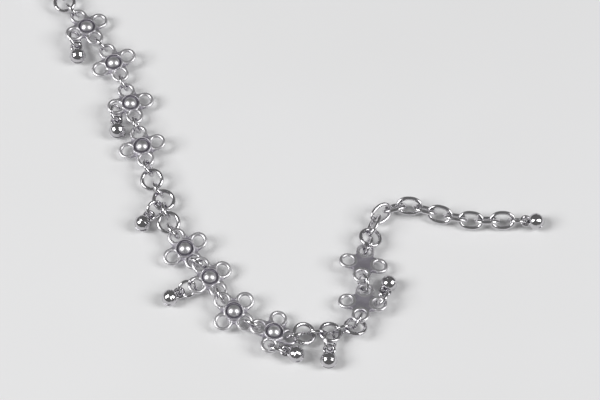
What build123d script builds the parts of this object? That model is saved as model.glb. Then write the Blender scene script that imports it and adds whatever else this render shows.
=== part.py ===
"""A payal: a silver anklet of openwork flowers, plain rings, small bells and an extender chain.

The anklet lies unfastened on a level surface at z = 0, +Z up, with the origin at the
middle of the floor that it covers. All sizes are in millimetres.
"""
from build123d import *
from collections import namedtuple
from math import cos, radians, sin, sqrt
import os

# ---- wire sizes: each round is given by its wire's thickness and the clear width inside it
PETAL_WIRE, PETAL_HOLE = 0.75, 2.1
RING_WIRE, RING_HOLE = 0.8, 3.1
JUMP_WIRE, JUMP_HOLE = 0.65, 2.6
LINK_WIRE, LINK_LENGTH, LINK_WIDTH = 0.75, 5.2, 3.8
EYE_WIRE, EYE_HOLE = 0.8, 2.0

# ---- flower
PETAL_REACH = 3.0  # flower centre to petal centre
PLATE_THICKNESS = 0.6
WEB_REACH = 2.5  # flower centre to the plate's rim, midway between two petals
COLLAR_RADIUS, COLLAR_TOP = 1.95, 0.5
GROOVE_RADIUS, GROOVE_FLOOR = 1.65, 0.1
DOME_SPHERE, DOME_FOOT_ANGLE = 1.45, 15
BACK_DISH_RADIUS, BACK_DISH_DEPTH = 1.2, 0.12

# ---- bell
BELL_RADIUS, BELL_WALL = 1.6, 0.3
BELL_LOOP_WIRE, BELL_LOOP_RADIUS, BELL_LOOP_REACH = 0.6, 0.95, 1.95
BELL_SEAM_WIDTH, BELL_SEAM_HEIGHT = 0.3, 0.08
BELL_MOUTH_WIDTH, BELL_MOUTH_DEPTH = 0.4, 0.9

# ---- clasp: a plain open hook with a soldered eye
HOOK_WIRE, HOOK_RADIUS, HOOK_ANGLE = 1.0, 2.4, 290
HOOK_BALL_RADIUS = 0.7

# ---- how the pieces hang together
PLAY = 0.09  # space left between two wires that pull on each other
JUMP_LEAN, BELL_RING_LEAN = 18, 35  # how far a jump ring leans over to its left
JUMP_RADIUS = (JUMP_HOLE + JUMP_WIRE) / 2
STRAND_HEIGHT = JUMP_RADIUS + JUMP_WIRE / 2 + PLAY
BELL_PLAY = 0.1  # the middle of the bell's loop to the jump ring's wire
BELL_HANG = BELL_LOOP_REACH + BELL_PLAY + JUMP_RADIUS  # bell centre to the middle of its jump ring

# The strand from the clasp to its free end, a row for each piece that lies along it.
#   heading  direction in plan of the step that leads to the piece, in degrees from +X
#   slack    how much shorter that step is than when it is pulled tight
#   nose     how far the piece's leading edge dips, and roll, how far it leans to its right
#   face     1 with the piece's front up, -1 with its back up
#   bell     direction in plan from the piece to its bell, or None; give is that hanging's slack
Piece = namedtuple("Piece", "kind heading slack nose roll face bell give")
STRAND = [
    Piece("clasp", 0, 0.0, 0, 0, 1, None, 0),
    # two flowers and three rings
    Piece("flower", 100, 0.3, 3, -6, 1, 20, 0.6),
    Piece("flower", 121, 0.2, 3, 4, 1, None, 0),
    Piece("ring", 140, 0.4, 8, 8, 1, None, 0),
    Piece("ring", 155, 0.2, 10, -6, 1, 66, 0.4),
    Piece("ring", 167, 0.2, 8, 6, 1, None, 0),
    # four flowers and three rings
    Piece("flower", 182, 0.2, 3, -5, 1, 100, 0.3),
    Piece("flower", 200, 0.3, 3, 5, 1, None, 0),
    Piece("flower", 222, 0.1, 3, -6, 1, 140, 0.5),
    Piece("flower", 243, 0.2, 3, 4, 1, None, 0),
    Piece("ring", 262, 0.3, 8, 6, 1, None, 0),
    Piece("ring", 276, 0.2, 10, -6, 1, 190, 0.2),
    Piece("ring", 292, 0.2, 8, 5, 1, None, 0),
    # four flowers and three rings
    Piece("flower", 308, 0.2, 3, -6, 1, 280, 0.9),
    Piece("flower", 304, 0.0, 3, 5, 1, None, 0),
    Piece("flower", 291, 0.1, 3, -5, 1, 275, 0.8),
    Piece("flower", 285, 0.1, 3, 6, 1, None, 0),
    Piece("ring", 286, 0.1, 10, 8, 1, None, 0),
    Piece("ring", 298, 0.3, 8, -6, 1, 231, 0.1),
    Piece("ring", 282, 0.4, 12, 6, 1, None, 0),
    # four flowers and three rings
    Piece("flower", 300, 1.3, 6, 5, 1, None, 0),
    Piece("flower", 308, 2.6, 10, -4, 1, 205, 0.3),
    Piece("flower", 303, 1.8, 9, 4, 1, None, 0),
    Piece("flower", 330, 1.7, 8, -5, 1, 343, 0.7),
    Piece("ring", 357, 2.3, 16, 5, 1, None, 0),
    Piece("ring", 3, 0.6, 13, -6, 1, 266, 0.8),
    Piece("ring", 14, 0.7, 18, -8, 1, None, 0),
    # two flowers, and the ring that ends the worn length
    Piece("flower", 74, 2.7, 11, -4, -1, 66, 0.7),
    Piece("flower", 88, 2.0, 11, 4, -1, None, 0),
    Piece("ring", 76, 2.2, 12, 10, 1, None, 0),
    # the extender
    Piece("link", 77, 0.45, 0, -58, 1, None, 0),
    Piece("link", 59, 0.6, 0, 45, 1, None, 0),
    Piece("link", 26, 0.7, 0, -45, 1, None, 0),
    Piece("link", 9, 0.7, 0, 45, 1, None, 0),
    Piece("link", -16, 0.5, 0, -45, 1, None, 0),
    Piece("link", -20, 0.5, 0, 45, 1, None, 0),
    Piece("link", -12, 0.5, 0, -45, 1, None, 0),
    Piece("link", -13, 0.6, 0, 45, 1, None, 0),
    Piece("link", 0, 0.5, 0, -45, 1, None, 0),
    Piece("link", 0, 0.6, 0, 45, 1, 0, 0.2),
]


Wire = namedtuple("Wire", "centre normal radius thickness")


def toward(direction):
    """The level direction at this angle in plan."""
    return Vector(cos(radians(direction)), sin(radians(direction)), 0)


def between(first, second):
    """The direction in plan midway between two others."""
    both = toward(first) + toward(second)
    return both.get_signed_angle(Vector(1, 0, 0), Vector(0, 0, -1))


def wire_reach(kind):
    """From a piece's centre to the middle of the wire that its neighbour pulls on."""
    return {
        "flower": PETAL_REACH + (PETAL_HOLE + PETAL_WIRE) / 2,
        "ring": (RING_HOLE + RING_WIRE) / 2,
        "link": (LINK_LENGTH - LINK_WIRE) / 2,
        "clasp": (EYE_HOLE + EYE_WIRE) / 2,
    }[kind]


def tight_step(first, second):
    """Centre to centre, pulled tight: links hook straight in, the rest share a jump ring."""
    reaches = wire_reach(first) + wire_reach(second)
    if second == "link":
        return reaches - (LINK_WIRE + (LINK_WIRE if first == "link" else RING_WIRE)) / 2 - PLAY
    return reaches + JUMP_HOLE - (PETAL_WIRE + RING_WIRE) / 2 - 2 * PLAY


def eye_toward(piece, plane, target):
    """The round of wire through which a piece is joined on its side nearest the target."""
    if piece.kind == "flower":
        local = plane.to_local_coords(target)
        flat = Vector(local.X, 0, 0) if abs(local.X) > abs(local.Y) else Vector(0, local.Y, 0)
        centre = plane.from_local_coords(flat.normalized() * PETAL_REACH)
        return Wire(centre, plane.z_dir, (PETAL_HOLE + PETAL_WIRE) / 2, PETAL_WIRE)
    return Wire(plane.origin, plane.z_dir, wire_reach(piece.kind), RING_WIRE)


def pulled_point(eye, target):
    """The point of a round of wire that lies nearest to where it is pulled."""
    pull = target - eye.centre
    flat = pull - eye.normal * pull.dot(eye.normal)
    return eye.centre + flat.normalized() * eye.radius


def tilted(origin, facing, nose, roll):
    """A plane that faces this way, its leading edge dipped and its right side lowered."""
    ahead = toward(facing) * cos(radians(nose)) - Vector(0, 0, sin(radians(nose)))
    left = toward(facing + 90)
    normal = ahead.cross(left) * cos(radians(roll)) - left * sin(radians(roll))
    return Plane(origin=origin, x_dir=ahead, z_dir=normal)


def standing_ring(centre, along, up, lean):
    """The plane of a jump ring that stands up along a direction, leaning over to its left."""
    level = up.cross(along).normalized()
    rise = along.cross(level).normalized()
    normal = level * cos(radians(lean)) + rise * sin(radians(lean))
    lowest = JUMP_RADIUS * (1 - normal.Z**2) ** 0.5 + JUMP_WIRE / 2
    stands = Vector(centre.X, centre.Y, max(centre.Z, lowest))
    return Plane(origin=stands, x_dir=along, z_dir=normal)


def ring_through(first, second):
    """The jump ring that holds two rounds of wire, clear of the far side of each."""
    ends = [pulled_point(first, second.centre), pulled_point(second, first.centre)]
    along = (second.centre - first.centre).normalized()
    middle = (ends[0] + ends[1]) * 0.5
    for eye, end, way in ((first, ends[0], along), (second, ends[1], along * -1)):
        far_side = eye.centre * 2 - end
        clear = JUMP_RADIUS + (JUMP_WIRE + eye.thickness) / 2 + PLAY
        middle = middle + way * max(0, clear - (middle - far_side).length)
    return standing_ring(middle, along, first.normal + second.normal, JUMP_LEAN)


# ---- where each piece of the strand lies
places = []
position = Vector(0, 0, STRAND_HEIGHT)
for index, piece in enumerate(STRAND):
    if index:
        step = tight_step(STRAND[index - 1].kind, piece.kind) - piece.slack
        position = position + toward(piece.heading) * step
    onward = STRAND[index + 1].heading if index + 1 < len(STRAND) else piece.heading
    arriving = piece.heading if index else onward
    facing = between(arriving, onward)
    places.append(tilted(position, facing, piece.nose, piece.roll))

# ---- jump rings between neighbours, then bells and the jump rings that they hang on
strand_rings = []
for index in range(1, len(STRAND)):
    if STRAND[index].kind == "link":
        continue
    first = eye_toward(STRAND[index - 1], places[index - 1], places[index].origin)
    second = eye_toward(STRAND[index], places[index], places[index - 1].origin)
    strand_rings.append((index, ring_through(first, second)))

bells, bell_rings = [], []
for index, piece in enumerate(STRAND):
    if piece.bell is None:
        continue
    hanging = toward(piece.bell)
    place = places[index]
    if piece.kind == "link":
        held = place.origin + hanging * wire_reach("link")
    else:
        edge = eye_toward(piece, place, place.origin - place.y_dir)
        held = pulled_point(edge, edge.centre + hanging)
    hang = BELL_HANG + JUMP_HOLE / 2 - PETAL_WIRE / 2 - PLAY - piece.give
    rest = Vector(held.X, held.Y, 0) + hanging * hang + Vector(0, 0, BELL_RADIUS + BELL_SEAM_HEIGHT)
    pull = (held - rest).normalized()
    bells.append((index, Plane(origin=rest, x_dir=toward(piece.bell + 90), z_dir=pull)))
    middle = rest + pull * BELL_HANG
    bell_rings.append((index, standing_ring(middle, pull * -1, Vector(0, 0, 1), BELL_RING_LEAN)))

# ---- solids: one of each kind, made level and centred, then added wherever it lies
with BuildPart() as flower:
    petal_radius = (PETAL_HOLE + PETAL_WIRE) / 2
    petal_rim = petal_radius + PETAL_WIRE / 2
    # the hollow between two petals is the arc that touches both and the web's rim
    diagonal = PETAL_REACH / sqrt(2)
    hollow_radius = (
        (WEB_REACH**2 - 2 * diagonal * WEB_REACH + PETAL_REACH**2 - petal_rim**2)
        / (2 * (petal_rim - WEB_REACH + diagonal))
    )
    hollow_reach = WEB_REACH + hollow_radius
    petal_centre, hollow_centre = Vector(PETAL_REACH, 0), Vector(hollow_reach, hollow_reach) / sqrt(2)
    touch = petal_centre + (hollow_centre - petal_centre).normalized() * petal_rim
    rim_points = [
        Vector(touch.X, side * touch.Y).rotate(Axis.Z, turn)
        for turn in range(0, 360, 90)
        for side in (-1, 1)
    ]
    with BuildSketch(Plane.XY.offset(-PLATE_THICKNESS / 2)):
        with BuildLine():
            Polyline(*rim_points, close=True)
        make_face()
        with PolarLocations(hollow_reach, 4, start_angle=45):
            Circle(hollow_radius, mode=Mode.SUBTRACT)
    extrude(amount=PLATE_THICKNESS)
    bottom = (Align.CENTER, Align.CENTER, Align.MIN)
    Cylinder(COLLAR_RADIUS, COLLAR_TOP, align=bottom)
    with PolarLocations(PETAL_REACH, 4):
        Cylinder(petal_radius - PETAL_WIRE / 4, 2 * COLLAR_TOP, mode=Mode.SUBTRACT)
        Torus(petal_radius, PETAL_WIRE / 2)
    with Locations((0, 0, GROOVE_FLOOR)):
        Cylinder(GROOVE_RADIUS, COLLAR_TOP, align=bottom, mode=Mode.SUBTRACT)
        Sphere(DOME_SPHERE, arc_size1=DOME_FOOT_ANGLE, align=bottom)
    dish_sphere = (BACK_DISH_RADIUS**2 + BACK_DISH_DEPTH**2) / (2 * BACK_DISH_DEPTH)
    with Locations((0, 0, BACK_DISH_DEPTH - PLATE_THICKNESS / 2 - dish_sphere)):
        Sphere(dish_sphere, mode=Mode.SUBTRACT)

with BuildPart() as plain_ring:
    Torus((RING_HOLE + RING_WIRE) / 2, RING_WIRE / 2)

with BuildPart() as jump_ring:
    Torus(JUMP_RADIUS, JUMP_WIRE / 2)

with BuildPart() as oval_link:
    bend = (LINK_WIDTH - LINK_WIRE) / 2
    straight = (LINK_LENGTH - LINK_WIDTH) / 2
    with BuildLine() as course:
        ahead_bend = CenterArc((straight, 0), bend, -90, 180)
        back_bend = CenterArc((-straight, 0), bend, 90, 180)
        Line(ahead_bend @ 1, back_bend @ 0)
        Line(back_bend @ 1, ahead_bend @ 0)
    with BuildSketch(Plane(origin=ahead_bend @ 0, z_dir=ahead_bend % 0)):
        Circle(LINK_WIRE / 2)
    sweep(path=course.wire())

with BuildPart() as bell:
    Sphere(BELL_RADIUS)
    Cylinder(BELL_RADIUS + BELL_SEAM_HEIGHT, BELL_SEAM_WIDTH)
    with Locations((0, 0, BELL_LOOP_REACH)):
        Torus(BELL_LOOP_RADIUS, BELL_LOOP_WIRE / 2, rotation=(90, 0, 0))
    Sphere(BELL_RADIUS - BELL_WALL, mode=Mode.SUBTRACT)
    with Locations((0, 0, -BELL_RADIUS)):
        Box(2 * BELL_RADIUS, BELL_MOUTH_WIDTH, 2 * BELL_MOUTH_DEPTH, mode=Mode.SUBTRACT)

with BuildPart() as clasp:
    Torus((EYE_HOLE + EYE_WIRE) / 2, EYE_WIRE / 2)
    hook_centre = -(EYE_HOLE + EYE_WIRE) / 2 - EYE_WIRE / 4 - HOOK_RADIUS
    with Locations((hook_centre, 0, 0)):
        Torus(HOOK_RADIUS, HOOK_WIRE / 2, major_angle=HOOK_ANGLE)
        with PolarLocations(HOOK_RADIUS, 1, start_angle=HOOK_ANGLE):
            Sphere(HOOK_BALL_RADIUS)


def laid(shape, planes):
    """Copies of a shape, one lying in each plane."""
    with BuildPart() as copies:
        for plane in planes:
            with Locations(plane):
                add(shape.part)
    return copies.part


# ---- what lies where, by name: flowers, rings and bells count along the strand from the clasp
pieces = {}
SHAPES = {"flower": flower, "ring": plain_ring, "link": oval_link, "clasp": clasp}
for kind, shape in SHAPES.items():
    planes = []
    for piece, place in zip(STRAND, places):
        if piece.kind == kind:
            upward = place.z_dir * piece.face
            planes.append(Plane(origin=place.origin, x_dir=place.x_dir, z_dir=upward))
    if kind == "link":
        pieces["extender_links"] = laid(shape, planes)
        continue
    for number, plane in enumerate(planes, 1):
        name = "clasp" if kind == "clasp" else f"{kind}_{number:02}"
        pieces[name] = laid(shape, [plane])
pieces["junction_ring"] = pieces.pop("ring_13")
for number, (index, plane) in enumerate(bells, 1):
    pieces[f"bell_{number:02}"] = laid(bell, [plane])

# the jump rings are joined in a few groups, each from one run of flowers to the next
GROUP_STARTS = [1, 6, 13, 20, 27]
for number, start in enumerate(GROUP_STARTS, 1):
    after = GROUP_STARTS[number] if number < len(GROUP_STARTS) else len(STRAND)
    in_group = [plane for index, plane in strand_rings + bell_rings if start <= index < after]
    pieces[f"jump_rings_{number}"] = laid(jump_ring, in_group)

# ---- the origin goes to the middle of the floor that the anklet covers
covered = Compound(children=list(pieces.values())).bounding_box()
home = Location((-covered.center().X, -covered.center().Y, -covered.min.Z))
os.makedirs("parts", exist_ok=True)
for name, piece in pieces.items():
    with BuildPart() as finished:
        with Locations(home):
            add(piece)
    finished.part.label = name
    export_step(finished.part, f"parts/{name}.step")
print("strand to its free end", round(sum((b.origin - a.origin).length for a, b in zip(places, places[1:])), 1))
print("covers", covered.size, "pieces", len(pieces))
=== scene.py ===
# %% [markdown]
# # A silver payal, laid out on a table
#
# A payal is an anklet that rings when its wearer walks. This one is a strand of openwork
# flowers and plain rings, linked by jump rings, with a small round bell on every other
# piece and a chain of oval links at its end.
#
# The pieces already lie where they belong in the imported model. This lesson reads each
# place from there, makes one careful master of each kind of piece, and lays copies of it.

# %% Load the frame
import math
from itertools import product

import bpy
import numpy as np
from mathutils import Matrix, Vector
from mathutils.bvhtree import BVHTree


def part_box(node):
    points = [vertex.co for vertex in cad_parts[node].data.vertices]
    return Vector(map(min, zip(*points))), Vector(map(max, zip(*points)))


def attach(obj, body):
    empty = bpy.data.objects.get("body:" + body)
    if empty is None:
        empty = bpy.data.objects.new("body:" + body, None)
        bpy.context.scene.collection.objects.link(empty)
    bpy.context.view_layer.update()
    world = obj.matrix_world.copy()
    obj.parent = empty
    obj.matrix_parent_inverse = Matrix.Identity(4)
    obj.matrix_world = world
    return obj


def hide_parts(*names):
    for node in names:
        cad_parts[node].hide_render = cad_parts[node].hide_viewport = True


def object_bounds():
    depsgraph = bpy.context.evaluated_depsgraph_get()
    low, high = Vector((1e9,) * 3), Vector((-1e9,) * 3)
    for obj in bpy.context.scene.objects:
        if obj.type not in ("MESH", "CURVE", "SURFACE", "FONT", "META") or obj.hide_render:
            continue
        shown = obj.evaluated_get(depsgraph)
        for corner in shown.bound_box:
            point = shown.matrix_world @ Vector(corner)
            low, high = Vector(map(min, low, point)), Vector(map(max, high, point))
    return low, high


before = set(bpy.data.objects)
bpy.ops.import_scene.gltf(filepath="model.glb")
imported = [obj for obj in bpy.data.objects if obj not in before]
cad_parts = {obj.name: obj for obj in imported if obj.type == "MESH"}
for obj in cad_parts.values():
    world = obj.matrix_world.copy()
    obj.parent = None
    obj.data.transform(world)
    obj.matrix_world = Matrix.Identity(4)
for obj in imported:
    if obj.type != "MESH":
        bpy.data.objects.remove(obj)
cad_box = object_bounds()
MM = 0.001
nodes = sorted(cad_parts)
print("nodes", len(nodes), "box", [round(v / MM, 1) for v in (*cad_box[0], *cad_box[1])])

# %% [markdown]
# ## Where each piece lies
#
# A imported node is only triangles, and some nodes hold several rings. Triangles that share
# corners belong to one solid, so a label that spreads from corner to corner tells the
# solids apart: it always takes the lowest number that it meets.
#
# A solid's spread of surface then tells how it lies. A ring spreads least along its own
# axis, and a bell spreads most along the line from its ball to its loop. The eigenvectors
# of the area-weighted covariance are those directions.


# %% Tell the solids of a node apart
def solids_of(node):
    """The triangles of each separate solid of a node, in millimetres."""
    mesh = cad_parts[node].data
    mesh.calc_loop_triangles()
    places = np.empty(len(mesh.vertices) * 3)
    mesh.vertices.foreach_get("co", places)
    corners = np.empty(len(mesh.loop_triangles) * 3, int)
    mesh.loop_triangles.foreach_get("vertices", corners)
    points, same = np.unique(places.reshape(-1, 3).round(7), axis=0, return_inverse=True)
    faces = same.ravel()[corners].reshape(-1, 3)
    label = np.arange(len(points))
    while True:
        before = label.copy()
        np.minimum.at(label, faces.ravel(), np.repeat(label[faces].min(1), 3))
        label = label[label]
        if (label == before).all():
            break
    return [points[faces[label[faces[:, 0]] == one]] / MM for one in np.unique(label)]


solids = {name: solids_of(name) for name in nodes}
print("solids", sum(len(group) for group in solids.values()))


# %% Read how a solid lies
def spread_of(triangles):
    """Centre of a solid's surface, and its directions from least to most spread."""
    middles = triangles.mean(1)
    sides = np.cross(triangles[:, 1] - triangles[:, 0], triangles[:, 2] - triangles[:, 0])
    areas = np.linalg.norm(sides, axis=1)
    centre = (middles * areas[:, None]).sum(0) / areas.sum()
    off = middles - centre
    spread = (off[:, :, None] * off[:, None, :] * areas[:, None, None]).sum(0)
    return centre, np.linalg.eigh(spread)[1].T


def placed(centre, ahead, up):
    """The matrix of a piece with its X ahead and its Z up."""
    side = np.cross(up, ahead)
    turn = Matrix(np.stack([ahead, side, up], 1).tolist()).to_4x4()
    return Matrix.Translation(Vector(centre) * MM) @ turn


def lie_of_round(triangles):
    """A ring or link: flat across its least spread, longest along its most."""
    centre, (up, _, ahead) = spread_of(triangles)
    return placed(centre, ahead, up if up[2] > 0 else -up)


first = lie_of_round(solids["jump_rings_1"][0])
print("first jump ring at", [round(v / MM, 2) for v in first.translation])

# %% [markdown]
# A flower's dome stands higher than its wires, so its front is the side on which its
# surface reaches further. Its petals are told by the corners that lie furthest out.


# %% Read how a flower and a bell lie
PETAL_WIRE, PETAL_HOLE, PETAL_REACH = 0.75, 2.1, 3.0
PETAL_RADIUS = (PETAL_HOLE + PETAL_WIRE) / 2
BELL_RADIUS, BELL_WALL = 1.6, 0.3
LOOP_WIRE, LOOP_RADIUS, LOOP_REACH = 0.6, 0.95, 1.95


def lie_of_flower(triangles):
    """Centre of the petals' plane, with X towards a petal and Z out of the dome."""
    centre, (up, _, _) = spread_of(triangles)
    corners = triangles.reshape(-1, 3) - centre
    heights = corners @ up
    if heights.max() < -heights.min():
        up, heights = -up, -heights
    flat = corners - heights[:, None] * up
    tip = flat[np.linalg.norm(flat, axis=1).argmax()]
    ahead = tip / np.linalg.norm(tip)
    middle = centre + up * (heights.min() + PETAL_WIRE / 2)
    return placed(middle, ahead, up)


def lie_of_bell(triangles):
    """Centre of the ball, with Z towards the loop and X along the loop's plane."""
    centre, (_, ahead, up) = spread_of(triangles)
    heights = (triangles.reshape(-1, 3) - centre) @ up
    if heights.max() < -heights.min():
        up, heights = -up, -heights
    top = LOOP_REACH + LOOP_RADIUS + LOOP_WIRE / 2
    return placed(centre + up * (heights.max() - top), ahead, up)


first = lie_of_flower(solids["flower_01"][0])
print("first flower at", [round(v / MM, 2) for v in first.translation])

# %% [markdown]
# ## Shapes from distances
#
# Flowers and bells are soldered, and solder fills each corner with a small smooth fillet.
# Bevels don't do that well where round wires meet. A distance function does: it tells how
# far any point is from the surface, and joining two of them softly makes the fillet.
#
# The surface is where the distance is nought. A grid of cells is laid over it, each cell
# that the surface crosses gets a vertex, and the four cells round each crossed grid edge
# make a face. The vertices are then evened out and settled exactly onto the surface.


# %% Distances that join and cut softly
def soft_join(first, second, fillet):
    """The union of two distances, with a fillet where they meet."""
    share = np.clip(0.5 + (second - first) / (2 * fillet), 0, 1)
    return second + (first - second) * share - fillet * share * (1 - share)


def soft_cut(first, second, fillet):
    """The first solid with the second taken out of it."""
    return -soft_join(-first, second, fillet)


def ball(points, centre, radius):
    return np.linalg.norm(points - np.array(centre), axis=1) - radius


def wire_round(points, centre, radius, wire):
    """A ring of round wire that lies level about its centre."""
    x, y, z = (points - np.array(centre)).T
    return np.hypot(np.hypot(x, y) - radius, z) - wire / 2


sample = np.array([[PETAL_RADIUS, 0.0, 0.0]])
print("inside the wire by", wire_round(sample, (0, 0, 0), PETAL_RADIUS, PETAL_WIRE)[0])


# %% A mesh over a distance
def slope_of(distance, points, step=1e-3):
    """Which way the distance grows at each point."""
    moves = np.eye(3) * step
    rise = [distance(points + move) - distance(points - move) for move in moves]
    return np.stack(rise, 1) / (2 * step)


def settled(points, distance, rounds=3):
    """Points moved onto the surface."""
    for _ in range(rounds):
        slope = slope_of(distance, points)
        steep = np.maximum((slope**2).sum(1), 0.1)
        points = points - slope * (distance(points) / steep)[:, None]
    return points


def evened(points, quads):
    """Points moved to the middle of their neighbours."""
    total, count = np.zeros_like(points), np.zeros(len(points))
    for step in (1, -1):
        neighbours = np.roll(quads, step, 1)
        np.add.at(total, quads, points[neighbours])
        np.add.at(count, quads, 1)
    return total / count[:, None]


def crossed_cells(inside):
    """The number of each cell that the surface crosses, and the quads between them."""
    ends = [slice(None, -1), slice(1, None)]
    corners = np.stack([inside[a, b, c] for a, b, c in product(ends, repeat=3)])
    crossed = corners.any(0) & ~corners.all(0)
    number = np.full(crossed.shape, -1)
    number[crossed] = np.arange(crossed.sum())
    quads = []
    for axis in range(3):
        solid, cell = np.moveaxis(inside, axis, 0), np.moveaxis(number, axis, 0)
        start, end = solid[:-1, 1:-1, 1:-1], solid[1:, 1:-1, 1:-1]
        around = [cell[:, :-1, :-1], cell[:, 1:, :-1], cell[:, 1:, 1:], cell[:, :-1, 1:]]
        faces = np.stack(around, -1)
        outward = start if axis != 1 else end
        quads += [faces[(start != end) & outward], faces[(start != end) & ~outward][:, ::-1]]
    return crossed, np.concatenate(quads)


def surface(distance, low, high, cell):
    """Vertices and quads of the closed surface where a distance is nought."""
    edges = [np.arange(a, b + cell, cell) for a, b in zip(low, high)]
    grid = np.stack(np.meshgrid(*edges, indexing="ij"), -1)
    inside = (distance(grid.reshape(-1, 3)) < 0).reshape(grid.shape[:3])
    crossed, quads = crossed_cells(inside)
    points = grid[:-1, :-1, :-1][crossed] + cell / 2
    points = settled(points, distance)
    for _ in range(3):
        points = settled(evened(points, quads), distance, rounds=2)
    return points, quads


# %% [markdown]
# Silver tarnishes where no finger or cloth rubs it: in grooves, under domes and where
# wires meet, and shade falls in the same places. The same distance function tells how open
# each place is. A point a little way out from an open surface is as far from the metal as it
# was moved, and in a corner it is nearer. The result is kept on the mesh as an attribute, for
# the finish to read; what it darkens is tarnish and painted shade at once.


# %% How sheltered each place is
SHELTER_STEPS = [0.2, 0.45, 0.9, 1.6]


def sheltered(distance, points):
    """From 0 on open metal to 1 in a deep corner."""
    slope = slope_of(distance, points)
    normals = slope / np.linalg.norm(slope, axis=1)[:, None]
    open_share = [
        np.clip(distance(points + normals * step) / step, 0, 1) for step in SHELTER_STEPS
    ]
    return 1 - np.mean(open_share, axis=0)


def master(name, points, quads, shelter):
    """A mesh object in metres about its own origin, hidden, for copies to be taken from."""
    mesh = bpy.data.meshes.new(name)
    mesh.from_pydata((points * MM).tolist(), [], quads.tolist())
    mesh.shade_smooth()
    mesh.attributes.new("shelter", "FLOAT", "POINT").data.foreach_set("value", shelter)
    piece = bpy.data.objects.new(name, mesh)
    print(name, "triangles", 2 * len(quads))
    return piece


def soldered(name, distance, low, high, cell, unpolished=None):
    """A master from its distance; where no polishing wheel reaches counts as sheltered."""
    points, quads = surface(distance, low, high, cell)
    shelter = sheltered(distance, points)
    if unpolished:
        shelter = np.maximum(shelter, unpolished(points))
    return master(name, points, quads, shelter)


# %% [markdown]
# ## The flower
#
# Four rings of wire are soldered round a small cast plate with hollow sides. A raised
# collar, a groove and a polished dome sit on its middle, and its back is slightly dished.
# The flower is the same in each quarter and in a mirror, so its distance is worked out
# in one eighth: a point is folded into it first.

# %% Sizes of the flower's plate
PLATE_THICKNESS, PLATE_EDGE = 0.6, 0.07
WEB_REACH = 2.5
COLLAR_RADIUS, COLLAR_TOP = 1.95, 0.5
GROOVE_RADIUS, GROOVE_FLOOR = 1.65, 0.1
DOME_SPHERE, DOME_FOOT_ANGLE = 1.45, 15
DISH_RADIUS, DISH_DEPTH = 1.2, 0.12
SOLDER = 0.22

petal_rim = PETAL_RADIUS + PETAL_WIRE / 2
diagonal = PETAL_REACH / math.sqrt(2)
hollow_radius = (
    WEB_REACH**2 - 2 * diagonal * WEB_REACH + PETAL_REACH**2 - petal_rim**2
) / (2 * (petal_rim - WEB_REACH + diagonal))
hollow_reach = WEB_REACH + hollow_radius
hollow_place = hollow_reach / math.sqrt(2)
petal_to_hollow = math.hypot(PETAL_REACH - hollow_place, hollow_place)
touch_x = PETAL_REACH + (hollow_place - PETAL_REACH) * petal_rim / petal_to_hollow
touch_y = hollow_place * petal_rim / petal_to_hollow
print("hollow between petals: radius", round(hollow_radius, 2), "at", round(hollow_reach, 2))


# %% The flower's distance
def folded(points):
    """Each point moved to the eighth that lies between a petal and the next hollow."""
    x, y = np.abs(points[:, 0]), np.abs(points[:, 1])
    return np.stack([np.maximum(x, y), np.minimum(x, y), points[:, 2]], 1)


def plate_distance(points):
    """The plate, from its outline and its thickness, with softened edges.

    It reaches to where each hollow touches the petals' rims, and no further.
    """
    x, y, z = points.T
    hollow = hollow_radius - np.hypot(x - hollow_place, y - hollow_place)
    outline = np.maximum(hollow, (x + y - touch_x - touch_y) / math.sqrt(2))
    outline = np.maximum(outline, x - touch_x)
    return soft_cut(outline, PLATE_THICKNESS / 2 - np.abs(z), PLATE_EDGE)


def flower_distance(points):
    points = folded(points)
    x, y, z = points.T
    out = np.hypot(x, y)
    collar = soft_cut(out - COLLAR_RADIUS, np.minimum(COLLAR_TOP - z, z), PLATE_EDGE)
    body = soft_join(plate_distance(points), collar, PLATE_EDGE)
    hole = np.hypot(x - PETAL_REACH, y) - PETAL_RADIUS + PETAL_WIRE / 4
    body = soft_cut(body, hole, PLATE_EDGE)
    petals = wire_round(points, (PETAL_REACH, 0, 0), PETAL_RADIUS, PETAL_WIRE)
    body = soft_join(body, petals, SOLDER)
    groove = soft_cut(out - GROOVE_RADIUS, z - GROOVE_FLOOR, PLATE_EDGE)
    body = soft_cut(body, groove, PLATE_EDGE)
    foot = DOME_SPHERE * math.sin(math.radians(DOME_FOOT_ANGLE))
    dome = ball(points, (0, 0, GROOVE_FLOOR - foot), DOME_SPHERE)
    body = soft_join(body, np.maximum(dome, GROOVE_FLOOR - 0.2 - z), PLATE_EDGE)
    dish_sphere = (DISH_RADIUS**2 + DISH_DEPTH**2) / (2 * DISH_DEPTH)
    dish_centre = DISH_DEPTH - PLATE_THICKNESS / 2 - dish_sphere
    return soft_cut(body, ball(points, (0, 0, dish_centre), dish_sphere), PLATE_EDGE)


UNPOLISHED = 0.4


def plate_left_dull(points):
    """The plate's faces, which lie lower than the wires and the dome that are polished."""
    x, y, z = folded(points).T
    off_wire = wire_round(folded(points), (PETAL_REACH, 0, 0), PETAL_RADIUS, PETAL_WIRE)
    low = np.clip((COLLAR_TOP + 0.05 - z) / 0.2, 0, 1) * (np.hypot(x, y) > DOME_SPHERE)
    back = z < -PLATE_THICKNESS / 4
    return UNPOLISHED * np.clip(off_wire / 0.12, 0, 1) * np.maximum(low, back)


FLOWER_REACH = PETAL_REACH + petal_rim + 0.3
flower_master = soldered(
    "flower_master",
    flower_distance,
    (-FLOWER_REACH, -FLOWER_REACH, -0.7),
    (FLOWER_REACH, FLOWER_REACH, 1.5),
    0.14,
    plate_left_dull,
)

# %% [markdown]
# ## The bell and the clasp
#
# A bell is a hollow ball pressed in two halves, so a low seam runs round it. Its mouth is
# a saw cut right across the bottom, and a loop of wire is soldered on top. The wall is
# thin, and light falls in through the mouth, so the ball is really hollow here too.
#
# The clasp is a plain open hook: an eye, a bent wire and a ball on its tip.

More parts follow.
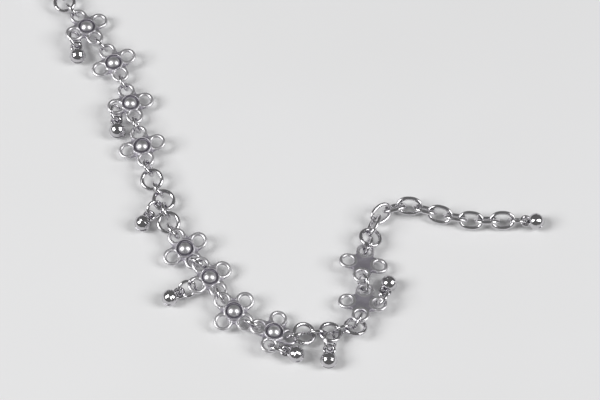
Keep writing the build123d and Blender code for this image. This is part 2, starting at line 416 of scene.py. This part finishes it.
# %% The bell's distance
SEAM_RISE, SEAM_WIDTH = 0.06, 0.26
MOUTH_WIDTH, MOUTH_DEPTH, MOUTH_END = 0.4, 0.9, 0.27


def mouth_distance(points):
    """The saw cut, which ends in a small drilled hole on either side."""
    x, y, z = np.abs(points[:, 0]), np.abs(points[:, 1]), points[:, 2]
    top = MOUTH_DEPTH - BELL_RADIUS
    cut = np.maximum(y - MOUTH_WIDTH / 2, z - top)
    drilled = np.maximum(np.hypot(y, z - top) - MOUTH_END, BELL_RADIUS / 2 - x)
    return np.minimum(cut, drilled)


def bell_distance(points):
    seam = wire_round(points, (0, 0, 0), BELL_RADIUS + SEAM_RISE - SEAM_WIDTH / 2, SEAM_WIDTH)
    body = soft_join(ball(points, (0, 0, 0), BELL_RADIUS), seam, 0.12)
    loop = wire_round(points[:, [0, 2, 1]], (0, LOOP_REACH, 0), LOOP_RADIUS, LOOP_WIRE)
    body = soft_join(body, loop, SOLDER)
    body = soft_cut(body, ball(points, (0, 0, 0), BELL_RADIUS - BELL_WALL), 0.03)
    return soft_cut(body, mouth_distance(points), 0.06)


bell_edge = BELL_RADIUS + 0.3
bell_master = soldered(
    "bell_master",
    bell_distance,
    (-bell_edge, -bell_edge, -bell_edge),
    (bell_edge, bell_edge, LOOP_REACH + LOOP_RADIUS + 0.6),
    0.1,
)

# %% The clasp's distance
EYE_WIRE, EYE_RADIUS = 0.8, 1.4
HOOK_WIRE, HOOK_RADIUS, HOOK_ANGLE, HOOK_BALL = 1.0, 2.4, 290, 0.7
hook_back = EYE_RADIUS + EYE_WIRE / 4 + HOOK_RADIUS


def hook_distance(points):
    """Bent round wire from the eye to its ball tip, about the hook's centre."""
    x, y, z = points.T
    half = math.radians(HOOK_ANGLE / 2)
    bearing = (np.arctan2(y, x) - half + math.pi) % (2 * math.pi) - math.pi
    nearest = np.clip(bearing, -half, half) + half
    course = np.stack([np.cos(nearest), np.sin(nearest), 0 * nearest], 1) * HOOK_RADIUS
    return np.linalg.norm(points - course, axis=1) - HOOK_WIRE / 2


def clasp_distance(points):
    eye = wire_round(points, (0, 0, 0), EYE_RADIUS, EYE_WIRE)
    hook_points = points + np.array([hook_back, 0, 0])
    body = soft_join(eye, hook_distance(hook_points), SOLDER)
    tip = math.radians(HOOK_ANGLE)
    tip_place = (HOOK_RADIUS * math.cos(tip), HOOK_RADIUS * math.sin(tip), 0)
    return soft_join(body, ball(hook_points, tip_place, HOOK_BALL), 0.1)


HOOK_ROOM, EYE_ROOM, SIDE_ROOM = 0.8, 0.7, 0.9  # from a wire's middle to the grid's edge
clasp_master = soldered(
    "clasp_master",
    clasp_distance,
    (-hook_back - HOOK_RADIUS - HOOK_ROOM, -HOOK_RADIUS - SIDE_ROOM, -SIDE_ROOM),
    (EYE_RADIUS + EYE_ROOM, HOOK_RADIUS + SIDE_ROOM, SIDE_ROOM),
    0.12,
)

# %% [markdown]
# ## Building node trees from Python
#
# Both geometry and finishes are made by nodes here. A long chain of nodes is hard to read
# as calls, so one small class wraps a node's output. Arithmetic on it adds Math nodes, and
# every other node comes from one method that takes its settings first and then its values.


# %% A value in a node tree
class Value:
    """One output of a node, in whichever tree that node is."""

    def __init__(self, socket):
        self.socket = socket

    def node(self, kind, settings=None, values=None, output=0):
        """A new node in the same tree; its values are numbers, colours or other Values."""
        tree = self.socket.id_data
        node = tree.nodes.new(kind)
        for name, setting in (settings or {}).items():
            setattr(node, name, setting)
        for name, value in (values or {}).items():
            if isinstance(value, Value):
                tree.links.new(value.socket, node.inputs[name])
            else:
                node.inputs[name].default_value = value
        return Value(node.outputs[output])

    def maths(self, operation, *values):
        return self.node("ShaderNodeMath", {"operation": operation}, dict(enumerate(values)))

    def __add__(self, other):
        return self.maths("ADD", self, other)

    def __sub__(self, other):
        return self.maths("SUBTRACT", self, other)

    def __rsub__(self, other):
        return self.maths("SUBTRACT", other, self)

    def __mul__(self, other):
        return self.maths("MULTIPLY", self, other)

    def __truediv__(self, other):
        return self.maths("DIVIDE", self, other)

    def __rtruediv__(self, other):
        return self.maths("DIVIDE", other, self)

    def __pow__(self, other):
        return self.maths("POWER", self, other)

    __radd__, __rmul__ = __add__, __mul__


# %% A geometry tree with named inputs
def geometry_tree(name, inputs):
    """An empty tree, and its inputs by name as Values."""
    tree = bpy.data.node_groups.new(name, "GeometryNodeTree")
    tree.interface.new_socket("Geometry", in_out="OUTPUT", socket_type="NodeSocketGeometry")
    for title, kind in inputs.items():
        tree.interface.new_socket(title, in_out="INPUT", socket_type=f"NodeSocket{kind}")
    given = tree.nodes.new("NodeGroupInput")
    return tree, {title: Value(given.outputs[title]) for title in inputs}


def end_tree(tree, geometry):
    out = tree.nodes.new("NodeGroupOutput")
    tree.links.new(geometry.socket, out.inputs["Geometry"])
    print(tree.name, "nodes", len(tree.nodes))


def plain_mesh(name, start, tree, inputs):
    """What a geometry tree makes of a starting mesh, as a plain mesh."""
    carrier = bpy.data.objects.new(name, start)
    bpy.context.scene.collection.objects.link(carrier)
    modifier = carrier.modifiers.new("Making", "NODES")
    modifier.node_group = tree
    for item in tree.interface.items_tree:
        if item.name in inputs:
            modifier[item.identifier] = inputs[item.name]
    made = carrier.evaluated_get(bpy.context.evaluated_depsgraph_get())
    mesh = bpy.data.meshes.new_from_object(made)
    carrier.modifiers.remove(modifier)
    bpy.data.objects.remove(carrier)
    mesh.name = name
    return mesh


# %% [markdown]
# ## Rings, jump rings and links
#
# They are all bent from round wire, so one tree makes them. A ring is an arc that goes all
# the way round. An oval link is the same arc with its left and right halves drawn apart, by
# less near the middle, so that its long sides stay bowed. A soldered joint swells a little,
# and a jump ring keeps a fine saw cut whose two ends are filed and spring out of line.

# %% The tree that bends a wire
wire_tree, wire = geometry_tree(
    "Bent wire",
    {
        "Radius": "Float",
        "Draw": "Float",
        "Bow": "Float",
        "Wire": "Float",
        "Around": "Int",
        "Sides": "Int",
        "Cut": "Float",
        "Soldered": "Bool",
        "Spring": "Float",
        "Swell": "Float",
        "Swell reach": "Float",
    },
)
turn_share = 2 * math.pi / wire["Around"]
cut_angle = wire["Cut"].maths("MAXIMUM", wire["Cut"], turn_share * wire["Soldered"])
course = wire["Radius"].node(
    "GeometryNodeCurveArc",
    {"mode": "RADIUS"},
    {
        "Resolution": wire["Around"],
        "Radius": wire["Radius"],
        "Start Angle": math.pi / 2 + cut_angle / 2,
        "Sweep Angle": 2 * math.pi - cut_angle,
    },
)
place = course.node("GeometryNodeInputPosition")
across = place.node("ShaderNodeSeparateXYZ", values={"Vector": place})
drawn = (across.maths("ABSOLUTE", across) / wire["Radius"]) ** wire["Bow"]
along = course.node("GeometryNodeSplineParameter")
offset = across.node(
    "ShaderNodeCombineXYZ",
    values={
        "X": across.maths("SIGN", across) * drawn * wire["Draw"] / 2,
        "Z": (along - 0.5) * wire["Spring"],
    },
)
course = course.node("GeometryNodeSetPosition", values={"Geometry": course, "Offset": offset})
course = course.node(
    "GeometryNodeSetSplineCyclic", values={"Geometry": course, "Cyclic": wire["Soldered"]}
)
from_joint = along.maths("MINIMUM", along, 1 - along)
near_joint = along.maths("MAXIMUM", 1 - from_joint / wire["Swell reach"], 0.0)
profile = course.node(
    "GeometryNodeCurvePrimitiveCircle",
    values={"Resolution": wire["Sides"], "Radius": wire["Wire"] / 2},
)
bent = course.node(
    "GeometryNodeCurveToMesh",
    values={
        "Curve": course,
        "Profile Curve": profile,
        "Scale": 1 + wire["Swell"] * near_joint**2,
        "Fill Caps": True,
    },
)
end_tree(wire_tree, bent.node("GeometryNodeSetShadeSmooth", values={"Geometry": bent}))


# %% Masters of bent wire
BOW = 0.55


def course_distance(bend, draw, wire_size):
    """The distance to a wire that follows the tree's course, from close points along it."""
    around = np.linspace(0, 2 * math.pi, 720, endpoint=False)
    x, y = bend * np.cos(around), bend * np.sin(around)
    x = x + np.sign(x) * np.abs(x / bend) ** BOW * draw / 2
    course = np.stack([x, y, 0 * x], 1)

    def distance(points):
        gaps = points[:, None, :] - course
        return np.sqrt((gaps**2).sum(2).min(1)) - wire_size / 2

    return distance


def bent_wire(name, outer_length, outer_width, wire_size, around, sides, **joint):
    """A bent piece of wire from its outer sizes, with its sheltered places marked."""
    bend = (outer_width - wire_size) / 2
    draw = outer_length - outer_width
    sizes = {"Radius": bend, "Draw": draw, "Bow": BOW, "Wire": wire_size}
    counts = {"Around": around, "Sides": sides}
    mesh = plain_mesh(name, bpy.data.meshes.new(name), wire_tree, sizes | counts | joint)
    points = np.empty(len(mesh.vertices) * 3)
    mesh.vertices.foreach_get("co", points)
    points = points.reshape(-1, 3)
    shelter = sheltered(course_distance(bend, draw, wire_size), points)
    mesh.vertices.foreach_set("co", (points * MM).ravel())
    mesh.attributes.new("shelter", "FLOAT", "POINT").data.foreach_set("value", shelter)
    print(name, "faces", len(mesh.polygons), "most sheltered", round(shelter.max(), 2))
    return bpy.data.objects.new(name, mesh)


SOLDERED = {"Cut": 0.0, "Soldered": True, "Spring": 0.0, "Swell": 0.08, "Swell reach": 0.05}
SAWN = {"Cut": 0.06, "Soldered": False, "Spring": 0.09, "Swell": -0.3, "Swell reach": 0.015}
ring_master = bent_wire("ring_master", 4.7, 4.7, 0.8, 96, 20, **SOLDERED)
link_master = bent_wire("link_master", 5.2, 3.8, 0.75, 88, 20, **SOLDERED)
jump_ring_master = bent_wire("jump_ring_master", 3.9, 3.9, 0.65, 72, 16, **SAWN)

# %% [markdown]
# ## Laying the pieces
#
# A second tree sets a copy of a master on each of a few points. Each point carries the turn
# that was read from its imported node. Handmade pieces are never quite true, so once the
# copies are real geometry a slow noise moves the surface in and out by a few hundredths of
# a millimetre. Each copy also gets a number of its own, so that no two tarnish alike.

# %% The tree that lays copies
laying_tree, laying = geometry_tree(
    "Laid pieces",
    {
        "Places": "Geometry",
        "Master": "Object",
        "Finish": "Material",
        "Spin": "Float",
        "Unevenness": "Float",
        "Bump width": "Float",
        "Seed": "Int",
    },
)
copy_of = laying["Master"].node(
    "GeometryNodeObjectInfo", values={"Object": laying["Master"]}, output="Geometry"
)
turn = copy_of.node(
    "GeometryNodeInputNamedAttribute", {"data_type": "QUATERNION"}, {"Name": "turn"}
)
chance = turn.node(
    "FunctionNodeRandomValue", {"data_type": "FLOAT"}, {"Seed": laying["Seed"]}, output=1
)
spin = chance.node(
    "FunctionNodeAxisAngleToRotation",
    values={"Axis": (0, 0, 1), "Angle": chance * laying["Spin"]},
)
turn = turn.node(
    "FunctionNodeRotateRotation",
    {"rotation_space": "LOCAL"},
    {"Rotation": turn, "Rotate By": spin},
)
copies = turn.node(
    "GeometryNodeInstanceOnPoints",
    values={"Points": laying["Places"], "Instance": copy_of, "Rotation": turn},
)
shade = copies.node(
    "FunctionNodeRandomValue", {"data_type": "FLOAT"}, {"Seed": laying["Seed"] + 1}, output=1
)
copies = copies.node(
    "GeometryNodeStoreNamedAttribute",
    {"data_type": "FLOAT", "domain": "INSTANCE"},
    {"Geometry": copies, "Name": "shade", "Value": shade},
)
laid = copies.node("GeometryNodeRealizeInstances", values={"Geometry": copies})
lumps = laid.node(
    "ShaderNodeTexNoise",
    {"noise_dimensions": "3D"},
    {
        "Vector": laid.node("GeometryNodeInputPosition"),
        "Scale": 1 / laying["Bump width"],
        "Detail": 1.0,
    },
)
out = laid.node("GeometryNodeInputNormal")
move = out.node(
    "ShaderNodeVectorMath",
    {"operation": "SCALE"},
    {0: out, "Scale": (lumps - 0.5) * laying["Unevenness"] * 2},
)
laid = laid.node("GeometryNodeSetPosition", values={"Geometry": laid, "Offset": move})
laid = laid.node(
    "GeometryNodeSetMaterial", values={"Geometry": laid, "Material": laying["Finish"]}
)
end_tree(laying_tree, laid)

# %% [markdown]
# ## Silver
#
# Worn silver is three things in one: bright metal where it is rubbed, a grey tarnish with a
# lavender cast that dulls it, and black sulphide packed in the corners. The shelter
# attribute and a cloudy noise decide which one shows, so the grey and near-black it lays in
# corners are tarnish and painted shade at once. Fine scratches and a faint unevenness
# break up the reflections.
#
# Every pattern reads Object coordinates, turned into millimetres, so that its grain keeps
# its size on each piece.


# %% Helpers for finishes
def new_finish(name):
    """An empty material and its first value, the place on the object in millimetres."""
    material = bpy.data.materials.new(name)
    material.use_nodes = True
    tree = material.node_tree
    tree.nodes.clear()
    seat = Value(tree.nodes.new("ShaderNodeTexCoord").outputs["Object"])
    place = seat.node("ShaderNodeVectorMath", {"operation": "SCALE"}, {0: seat, "Scale": 1 / MM})
    return material, place


def noise(place, per_mm, detail=2.0):
    """A cloudy pattern from 0 to 1."""
    values = {"Vector": place, "Scale": per_mm, "Detail": detail}
    return place.node("ShaderNodeTexNoise", {"noise_dimensions": "3D"}, values)


def step(value, low, high):
    """A smooth rise from 0 to 1 between two values."""
    values = {"Value": value, "From Min": low, "From Max": high}
    return value.node("ShaderNodeMapRange", {"interpolation_type": "SMOOTHSTEP"}, values)


def mixed(share, first, second):
    """One colour turning into another."""
    values = {0: share, 6: first, 7: second}
    return share.node("ShaderNodeMix", {"data_type": "RGBA"}, values, output=2)


def scratches(place, turn, per_mm):
    """Fine streaks that all run one way."""
    values = {"Vector": place, "Rotation": turn, "Scale": (0.12, 1.0, 1.0)}
    drawn = place.node("ShaderNodeMapping", {"vector_type": "POINT"}, values)
    return step(noise(drawn, per_mm), 0.6, 0.72)


def attribute(place, name):
    return place.node("ShaderNodeAttribute", {"attribute_name": name}, output=2)


def end_finish(material, surface):
    out = material.node_tree.nodes.new("ShaderNodeOutputMaterial")
    material.node_tree.links.new(surface.socket, out.inputs["Surface"])
    print(material.name, "nodes", len(material.node_tree.nodes))
    return material


# %% The silver finish
DOME_BRIGHT = (0.78, 0.77, 0.79, 1)
WIRE_BRIGHT = (0.66, 0.65, 0.67, 1)
BELL_BRIGHT = (0.6, 0.59, 0.61, 1)
# Tarnish grey and near-black: the silver's own tarnish, and also painted shade where the shelter
# attribute is high.
TARNISH_AND_SHADE = (0.42, 0.4, 0.45, 1)
SULPHIDE_AND_SHADE = (0.04, 0.035, 0.045, 1)
CLOUDS_PER_MM, SPECKS_PER_MM = 0.7, 7.0
SCRATCH_TURNS = (((0.3, 0.4, 0.5), 5.0), ((1.1, -0.7, 2.2), 6.0))  # rotation, streaks per mm


def silver(name, bright, tarnish_and_shade_from, sulphide_and_shade_from, polish, grain, wear, sulphide_and_shade_colour=SULPHIDE_AND_SHADE):
    """Silver whose grey tarnish and near-black corners, both also a painted shade, start at a given
    shelter.

    Bright is its clean colour and polish its roughness there. Grain is the depth of its
    cast skin where tarnished, and wear the depth of its scratches.
    """
    material, place = new_finish(name)
    shelter = attribute(place, "shelter") + (attribute(place, "shade") - 0.5) * 0.12
    clouds = noise(place, CLOUDS_PER_MM, 3.0) - 0.5
    specks = noise(place, SPECKS_PER_MM, 3.0) - 0.5
    # Painted shade with the tarnish: both masks darken the silver the more sheltered a place is.
    dull_and_shaded = step(shelter + clouds * 0.5, tarnish_and_shade_from, tarnish_and_shade_from + 0.3)
    sulphide_and_shade_mask = step(shelter + clouds * 0.25 + specks * 0.35, sulphide_and_shade_from, sulphide_and_shade_from + 0.2)
    first, second = (scratches(place, *turn) for turn in SCRATCH_TURNS)
    marks = first + second
    colour = mixed(sulphide_and_shade_mask, mixed(dull_and_shaded, bright, TARNISH_AND_SHADE), sulphide_and_shade_colour)
    rough = polish + dull_and_shaded * 0.2 + sulphide_and_shade_mask * 0.25 + marks * 0.06 + specks * 0.08
    height = clouds * 0.6 + specks * (dull_and_shaded * grain + 0.2) - marks * wear
    bump = height.node(
        "ShaderNodeBump", values={"Strength": 0.6, "Distance": 0.02 * MM, "Height": height}
    )
    surface = bump.node(
        "ShaderNodeBsdfPrincipled",
        values={"Base Color": colour, "Metallic": 1.0, "Roughness": rough, "Normal": bump},
    )
    return end_finish(material, surface)


# The flower's deepest corners, round the dome's groove, get a dark grey: sulphide and painted
# shade.
GROOVE_SHADE_GREY = (0.13, 0.12, 0.15, 1)
flower_silver = silver("Oxidised silver", DOME_BRIGHT, 0.1, 0.62, 0.38, 3.0, 0.1, GROOVE_SHADE_GREY)
ring_silver = silver("Silver wire", WIRE_BRIGHT, 0.12, 0.55, 0.16, 0.8, 0.1)
chain_silver = silver("Silver chain wire", WIRE_BRIGHT, 0.16, 0.6, 0.18, 0.8, 0.1)
bell_silver = silver("Polished silver", BELL_BRIGHT, 0.3, 0.6, 0.1, 0.8, 0.02)

# %% [markdown]
# ## The anklet, piece by piece
#
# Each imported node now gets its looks: the masters are laid where its solids lie, in its
# finish, as one plain mesh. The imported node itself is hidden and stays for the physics.


# %% How each kind of piece is laid
def lie_of_clasp(triangles):
    """Centre of the eye, with X from the hook to the first flower and Z up."""
    centre = spread_of(triangles)[0]
    way = np.array(lie_of_flower(solids["flower_01"][0]).translation) / MM - centre
    ahead = np.array([way[0], way[1], 0]) / math.hypot(way[0], way[1])
    corners = (triangles.reshape(-1, 3) - centre) @ ahead
    middle = centre + ahead * (corners.max() - EYE_RADIUS - EYE_WIRE / 2)
    return placed(middle, ahead, np.array([0, 0, 1.0]))


KINDS = {
    "flower": (flower_master, lie_of_flower, flower_silver, "oxidised_silver", 0, 0.02),
    "ring": (ring_master, lie_of_round, ring_silver, "ring_silver", 2 * math.pi, 0.015),
    "junction": (ring_master, lie_of_round, ring_silver, "ring_silver", 2 * math.pi, 0.015),
    "jump": (jump_ring_master, lie_of_round, ring_silver, "ring_silver", 2 * math.pi, 0.01),
    "extender": (link_master, lie_of_round, chain_silver, "chain_silver", 0, 0.015),
    "clasp": (clasp_master, lie_of_clasp, chain_silver, "chain_silver", 0, 0.015),
    "bell": (bell_master, lie_of_bell, bell_silver, "polished_silver", 0, 0.008),
}


# %% [markdown]
# Where one piece hangs in another, the silver is painted darker there, as painted shade
# between the pieces. A search tree over each solid finds the points that lie close to a neighbour.


# %% Mark where pieces hang in each other
# How near and how strongly shade is painted where pieces meet.
CLOSE, CONTACT_SHADE = 0.6, 0.7


def search_tree(triangles):
    corners = triangles.reshape(-1, 3)
    return BVHTree.FromPolygons(corners, np.arange(len(corners)).reshape(-1, 3).tolist())


everything = [triangles for group in solids.values() for triangles in group]
search_trees = [search_tree(triangles) for triangles in everything]
boxes = np.array([[part.min((0, 1)), part.max((0, 1))] for part in everything])


def closeness(points, own):
    """From 0 to 1 as points of one solid come close to any other solid."""
    close = np.zeros(len(points))
    low, high = points.min(0) - CLOSE, points.max(0) + CLOSE
    touching = (boxes[:, 0] < high).all(1) & (boxes[:, 1] > low).all(1)
    for other in np.flatnonzero(touching):
        if other == own:
            continue
        inside = (points > boxes[other, 0] - CLOSE) & (points < boxes[other, 1] + CLOSE)
        for index in np.flatnonzero(inside.all(1)):
            gap = search_trees[other].find_nearest(points[index], CLOSE)[3]
            if gap is not None:
                close[index] = max(close[index], 1 - gap / CLOSE)
    return close


def paint_contact_shade(mesh, node):
    """Raise the shelter of a node's looks wherever another piece is close, to paint shade there."""
    points = np.empty(len(mesh.vertices) * 3)
    mesh.vertices.foreach_get("co", points)
    shelter = np.empty(len(mesh.vertices))
    mesh.attributes["shelter"].data.foreach_get("value", shelter)
    first = sum(len(group) for name, group in solids.items() if name < node)
    copies = np.split(points.reshape(-1, 3) / MM, len(solids[node]))
    close = np.concatenate([closeness(copy, first + i) for i, copy in enumerate(copies)])
    # Painted shade wherever another piece is close.
    shelter = np.maximum(shelter, close * CONTACT_SHADE)
    mesh.attributes["shelter"].data.foreach_set("value", shelter)


print("search trees", len(search_trees))


# %% Lay every piece
def starting_points(name, lies):
    """A mesh of points, each with the turn of the piece to be laid there."""
    mesh = bpy.data.meshes.new(name)
    mesh.from_pydata([lie.translation for lie in lies], [], [])
    turns = mesh.attributes.new("turn", "QUATERNION", "POINT").data
    turns.foreach_set("value", [part for lie in lies for part in lie.to_quaternion()])
    return mesh


def lay(node, seed):
    """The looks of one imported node."""
    piece_master, lie_of, finish, slot, spin, unevenness = KINDS[node.split("_")[0]]
    lies = [lie_of(triangles) for triangles in solids[node]]
    name = f"silver_{node}"
    inputs = {
        "Master": piece_master,
        "Finish": finish,
        "Spin": float(spin),
        "Unevenness": unevenness * MM,
        "Bump width": 1.4 * MM,
        "Seed": seed,
    }
    mesh = plain_mesh(name, starting_points(name, lies), laying_tree, inputs)
    paint_contact_shade(mesh, node)
    piece = bpy.data.objects.new(name, mesh)
    bpy.context.scene.collection.objects.link(piece)
    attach(piece, "root")
    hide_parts(node)
    return sum(len(face.vertices) - 2 for face in mesh.polygons)


faces = {node: lay(node, seed) for seed, node in enumerate(nodes)}
print("triangles", sum(faces.values()), "most in one piece", max(faces.values()))
for spare in (flower_master, bell_master, clasp_master, ring_master, link_master, jump_ring_master):
    bpy.data.objects.remove(spare)

# %% [markdown]
# ## Table, light and camera
#
# Bright metal shows what is round it. Two soft boxes stand to the left and right of the
# camera, so every bell and dome carries two highlights, and the dimmer room between them
# keeps the metal from washing out. The table is plain and pale.

# %% The table
FLOOR_SIZE = 4.0
floor_mesh = bpy.data.meshes.new("table")
half = FLOOR_SIZE / 2
corners = [(-half, -half, 0), (half, -half, 0), (half, half, 0), (-half, half, 0)]
floor_mesh.from_pydata(corners, [], [(0, 1, 2, 3)])
table = bpy.data.objects.new("table", floor_mesh)
table.location.z = cad_box[0][2] - 0.02 * MM
bpy.context.scene.collection.objects.link(table)
table_finish, place = new_finish("Pale table")
cloth = mixed(noise(place, 0.02), (0.8, 0.8, 0.8, 1), (0.84, 0.84, 0.85, 1))
table_surface = cloth.node(
    "ShaderNodeBsdfPrincipled", values={"Base Color": cloth, "Roughness": 0.7}
)
floor_mesh.materials.append(end_finish(table_finish, table_surface))
print("table at", round(table.location.z / MM, 2), "mm")

# %% The room and its lights
ROOM = 0.16
world = bpy.data.worlds.new("Room")
bpy.context.scene.world = world
world.use_nodes = True
world.node_tree.nodes["Background"].inputs["Color"].default_value = (1, 1, 1, 1)
world.node_tree.nodes["Background"].inputs["Strength"].default_value = ROOM


def soft_box(name, bearing, height, distance, size, power):
    """A tall area light that looks at the anklet from a bearing and a height in degrees."""
    light = bpy.data.lights.new(name, "AREA")
    light.shape, light.energy = "RECTANGLE", power
    light.size, light.size_y = size
    lamp = bpy.data.objects.new(name, light)
    around, up = math.radians(bearing), math.radians(height)
    level = math.cos(up)
    way = Vector((level * math.cos(around), level * math.sin(around), math.sin(up)))
    lamp.location = way * distance
    lamp.rotation_euler = way.to_track_quat("Z", "Y").to_euler()
    bpy.context.scene.collection.objects.link(lamp)
    return lamp


soft_box("left soft box", 195, 42, 1.2, (0.5, 0.7), 10.0)
soft_box("right soft box", 345, 42, 1.2, (0.5, 0.7), 7.5)

# %% The camera
LOOK_FROM_JUNCTION = (-13.6, 9.6)
CAMERA_ELEVATION, CAMERA_DISTANCE, CAMERA_LENS = 60, 450, 137.7
junction_low, junction_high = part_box("junction_ring")
junction = (Vector(junction_low) + Vector(junction_high)) / 2
look = Vector((junction.x, junction.y, cad_box[0][2])) + Vector((*LOOK_FROM_JUNCTION, 0)) * MM
rise = math.radians(CAMERA_ELEVATION)
way = Vector((0, -math.cos(rise), math.sin(rise)))
camera = bpy.data.objects.new("camera", bpy.data.cameras.new("camera"))
camera.data.lens = CAMERA_LENS
camera.data.clip_start, camera.data.clip_end = 0.01, 20
camera.location = look + way * CAMERA_DISTANCE * MM
camera.rotation_euler = way.to_track_quat("Z", "Y").to_euler()
bpy.context.scene.collection.objects.link(camera)
bpy.context.scene.camera = camera
bpy.context.scene.view_settings.view_transform = "Standard"
print("camera", [round(v / MM) for v in camera.location])
